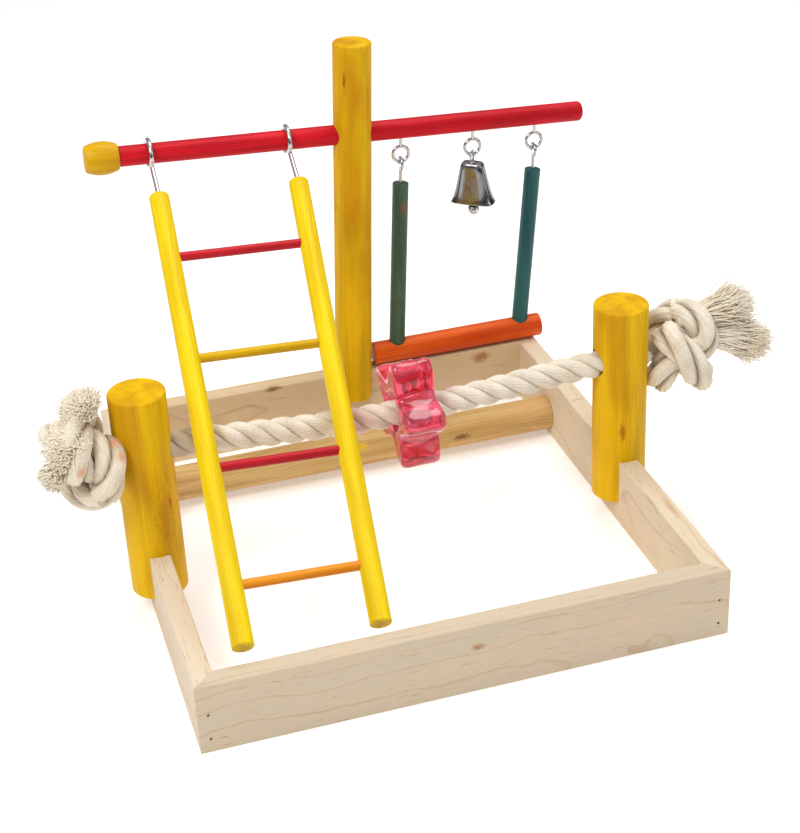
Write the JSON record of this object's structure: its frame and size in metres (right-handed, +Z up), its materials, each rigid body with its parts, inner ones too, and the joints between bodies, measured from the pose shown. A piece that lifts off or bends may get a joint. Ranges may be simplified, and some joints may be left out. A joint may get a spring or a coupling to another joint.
{
  "type": "parrot play stand",
  "caption": "Table-top perch stand for a small parrot: pine base frame, stained posts, rope perch, leaning ladder, swing, bell and a spinning star bead.",
  "frame": {"origin": "middle of the front rail's underside, on the surface that the stand stands on", "axes": "+Z up, +X to the right of someone in front of the stand, +Y to the back, towards the mast"},
  "size_m": [0.5374, 0.3691, 0.3143],
  "materials": {
    "pine": "planed, sanded pine",
    "yellow_stained_wood": "yellow stain under a thin satin coat",
    "red_stained_wood": "red stain under a thin satin coat",
    "orange_stained_wood": "orange stain under a thin satin coat",
    "green_stained_wood": "dark green stain, satin",
    "blue_green_stained_wood": "dark blue-green stain, satin",
    "natural_wood": "bare dowel, lightly sanded",
    "chrome_steel": "bright plated steel wire and sheet",
    "dark_steel": "dull nail and staple wire",
    "cotton_rope": "three-strand laid cotton rope",
    "pink_plastic": "clear pink-red moulded plastic"
  },
  "bodies": {
    "stand": {"back_rail": "pine", "bar_end_cap": "yellow_stained_wood", "bell_eye": "chrome_steel", "corner_nails": "dark_steel", "crossbar": "red_stained_wood", "front_rail": "pine", "left_post": "yellow_stained_wood", "left_rail": "pine", "low_perch": "natural_wood", "mast": "pine", "perch_nails": "dark_steel", "rail_staple": "dark_steel", "right_post": "yellow_stained_wood", "right_rail": "pine", "rope": "cotton_rope", "rope_knot_left": "cotton_rope", "rope_knot_right": "cotton_rope", "rope_tassel_left": "cotton_rope", "rope_tassel_right": "cotton_rope", "swing_eye_left": "chrome_steel", "swing_eye_right": "chrome_steel"},
    "ladder": {"ladder_hook_left": "chrome_steel", "ladder_hook_right": "chrome_steel", "ladder_rail_left": "yellow_stained_wood", "ladder_rail_right": "yellow_stained_wood", "ladder_rung_1": "red_stained_wood", "ladder_rung_2": "yellow_stained_wood", "ladder_rung_3": "red_stained_wood", "ladder_rung_4": "orange_stained_wood"},
    "swing": {"swing_hook_left": "chrome_steel", "swing_hook_right": "chrome_steel", "swing_perch": "orange_stained_wood", "swing_rod_left": "green_stained_wood", "swing_rod_right": "blue_green_stained_wood"},
    "bell": {"bell_hanger": "chrome_steel", "bell_shell": "chrome_steel"},
    "clapper": {"bell_clapper": "chrome_steel"},
    "bead": {"star_bead": "pink_plastic"}
  },
  "joints": [
    {"name": "ladder_lift", "type": "hinge", "parent": "stand", "child": "ladder", "pos_m": [0.03467, 0.346, 0.24413], "axis": [-0.9986, 0, 0.0523], "range_deg": [0, 75]},
    {"name": "swing_swing", "type": "hinge", "parent": "stand", "child": "swing", "pos_m": [0.12368, 0.346, 0.21333], "axis": [0.9986, 0, -0.0523], "range_deg": [-50, 50]},
    {"name": "bell_swing", "type": "hinge", "parent": "stand", "child": "bell", "pos_m": [0.12718, 0.346, 0.21315], "axis": [0.9986, 0, -0.0523], "range_deg": [-50, 50]},
    {"name": "clapper_swing", "type": "hinge", "parent": "bell", "child": "clapper", "pos_m": [0.12718, 0.346, 0.19965], "axis": [0.6157, 0.788, 0], "range_deg": [-25, 25]},
    {"name": "bead_spin", "type": "hinge", "parent": "stand", "child": "bead", "pos_m": [0.015, 0.157, 0.11506], "axis": [1, 0, 0], "continuous": true}
  ]
}
